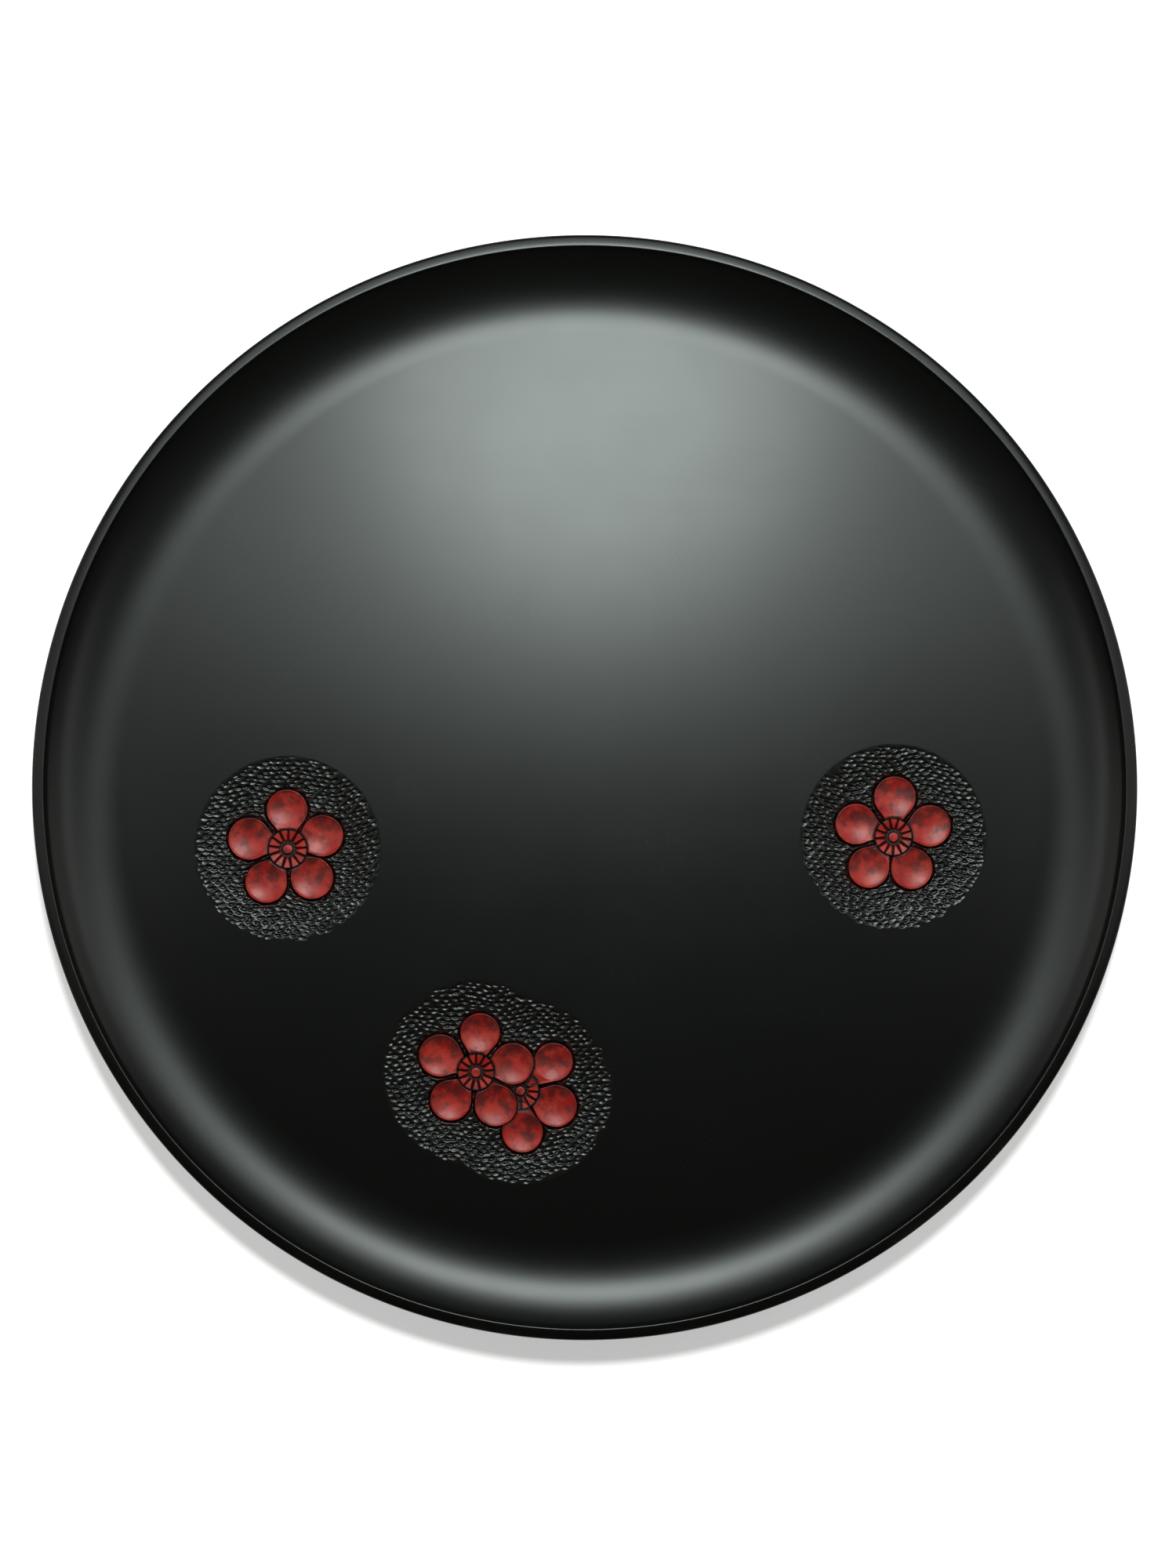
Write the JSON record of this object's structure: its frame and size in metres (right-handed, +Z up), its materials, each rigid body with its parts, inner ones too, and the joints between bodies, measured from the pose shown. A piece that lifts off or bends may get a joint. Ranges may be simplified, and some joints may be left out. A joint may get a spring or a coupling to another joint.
{
  "type": "round serving tray",
  "caption": "Round turned wooden serving tray with a low coved rim, carved with red plum blossoms on gouged black ground.",
  "frame": {"origin": "centre of the underside, in the plane that the foot ring stands on", "axes": "+Z up out of the well; +Y towards the plain side, away from the overlapping pair of blossoms; +X towards the single blossom at the right"},
  "size_m": [0.3, 0.3, 0.02],
  "materials": {
    "black_lacquer": "turned wood with satin black lacquer",
    "red_lacquer": "carved wood with satin red lacquer, wiped darker in the hollows"
  },
  "bodies": {
    "root": {"tray_body": "black_lacquer", "back_blossom_petal_lower": "red_lacquer", "back_blossom_petal_right": "red_lacquer", "back_blossom_petal_upper_right": "red_lacquer", "back_blossom_pistil": "red_lacquer", "back_blossom_stamen_wheel": "red_lacquer", "front_blossom_petal_left": "red_lacquer", "front_blossom_petal_lower_left": "red_lacquer", "front_blossom_petal_lower_right": "red_lacquer", "front_blossom_petal_right": "red_lacquer", "front_blossom_petal_top": "red_lacquer", "front_blossom_pistil": "red_lacquer", "front_blossom_stamen_wheel": "red_lacquer", "left_blossom_petal_left": "red_lacquer", "left_blossom_petal_lower_left": "red_lacquer", "left_blossom_petal_lower_right": "red_lacquer", "left_blossom_petal_right": "red_lacquer", "left_blossom_petal_top": "red_lacquer", "left_blossom_pistil": "red_lacquer", "left_blossom_stamen_wheel": "red_lacquer", "right_blossom_petal_left": "red_lacquer", "right_blossom_petal_lower_left": "red_lacquer", "right_blossom_petal_lower_right": "red_lacquer", "right_blossom_petal_right": "red_lacquer", "right_blossom_petal_top": "red_lacquer", "right_blossom_pistil": "red_lacquer", "right_blossom_stamen_wheel": "red_lacquer"}
  },
  "joints": []
}
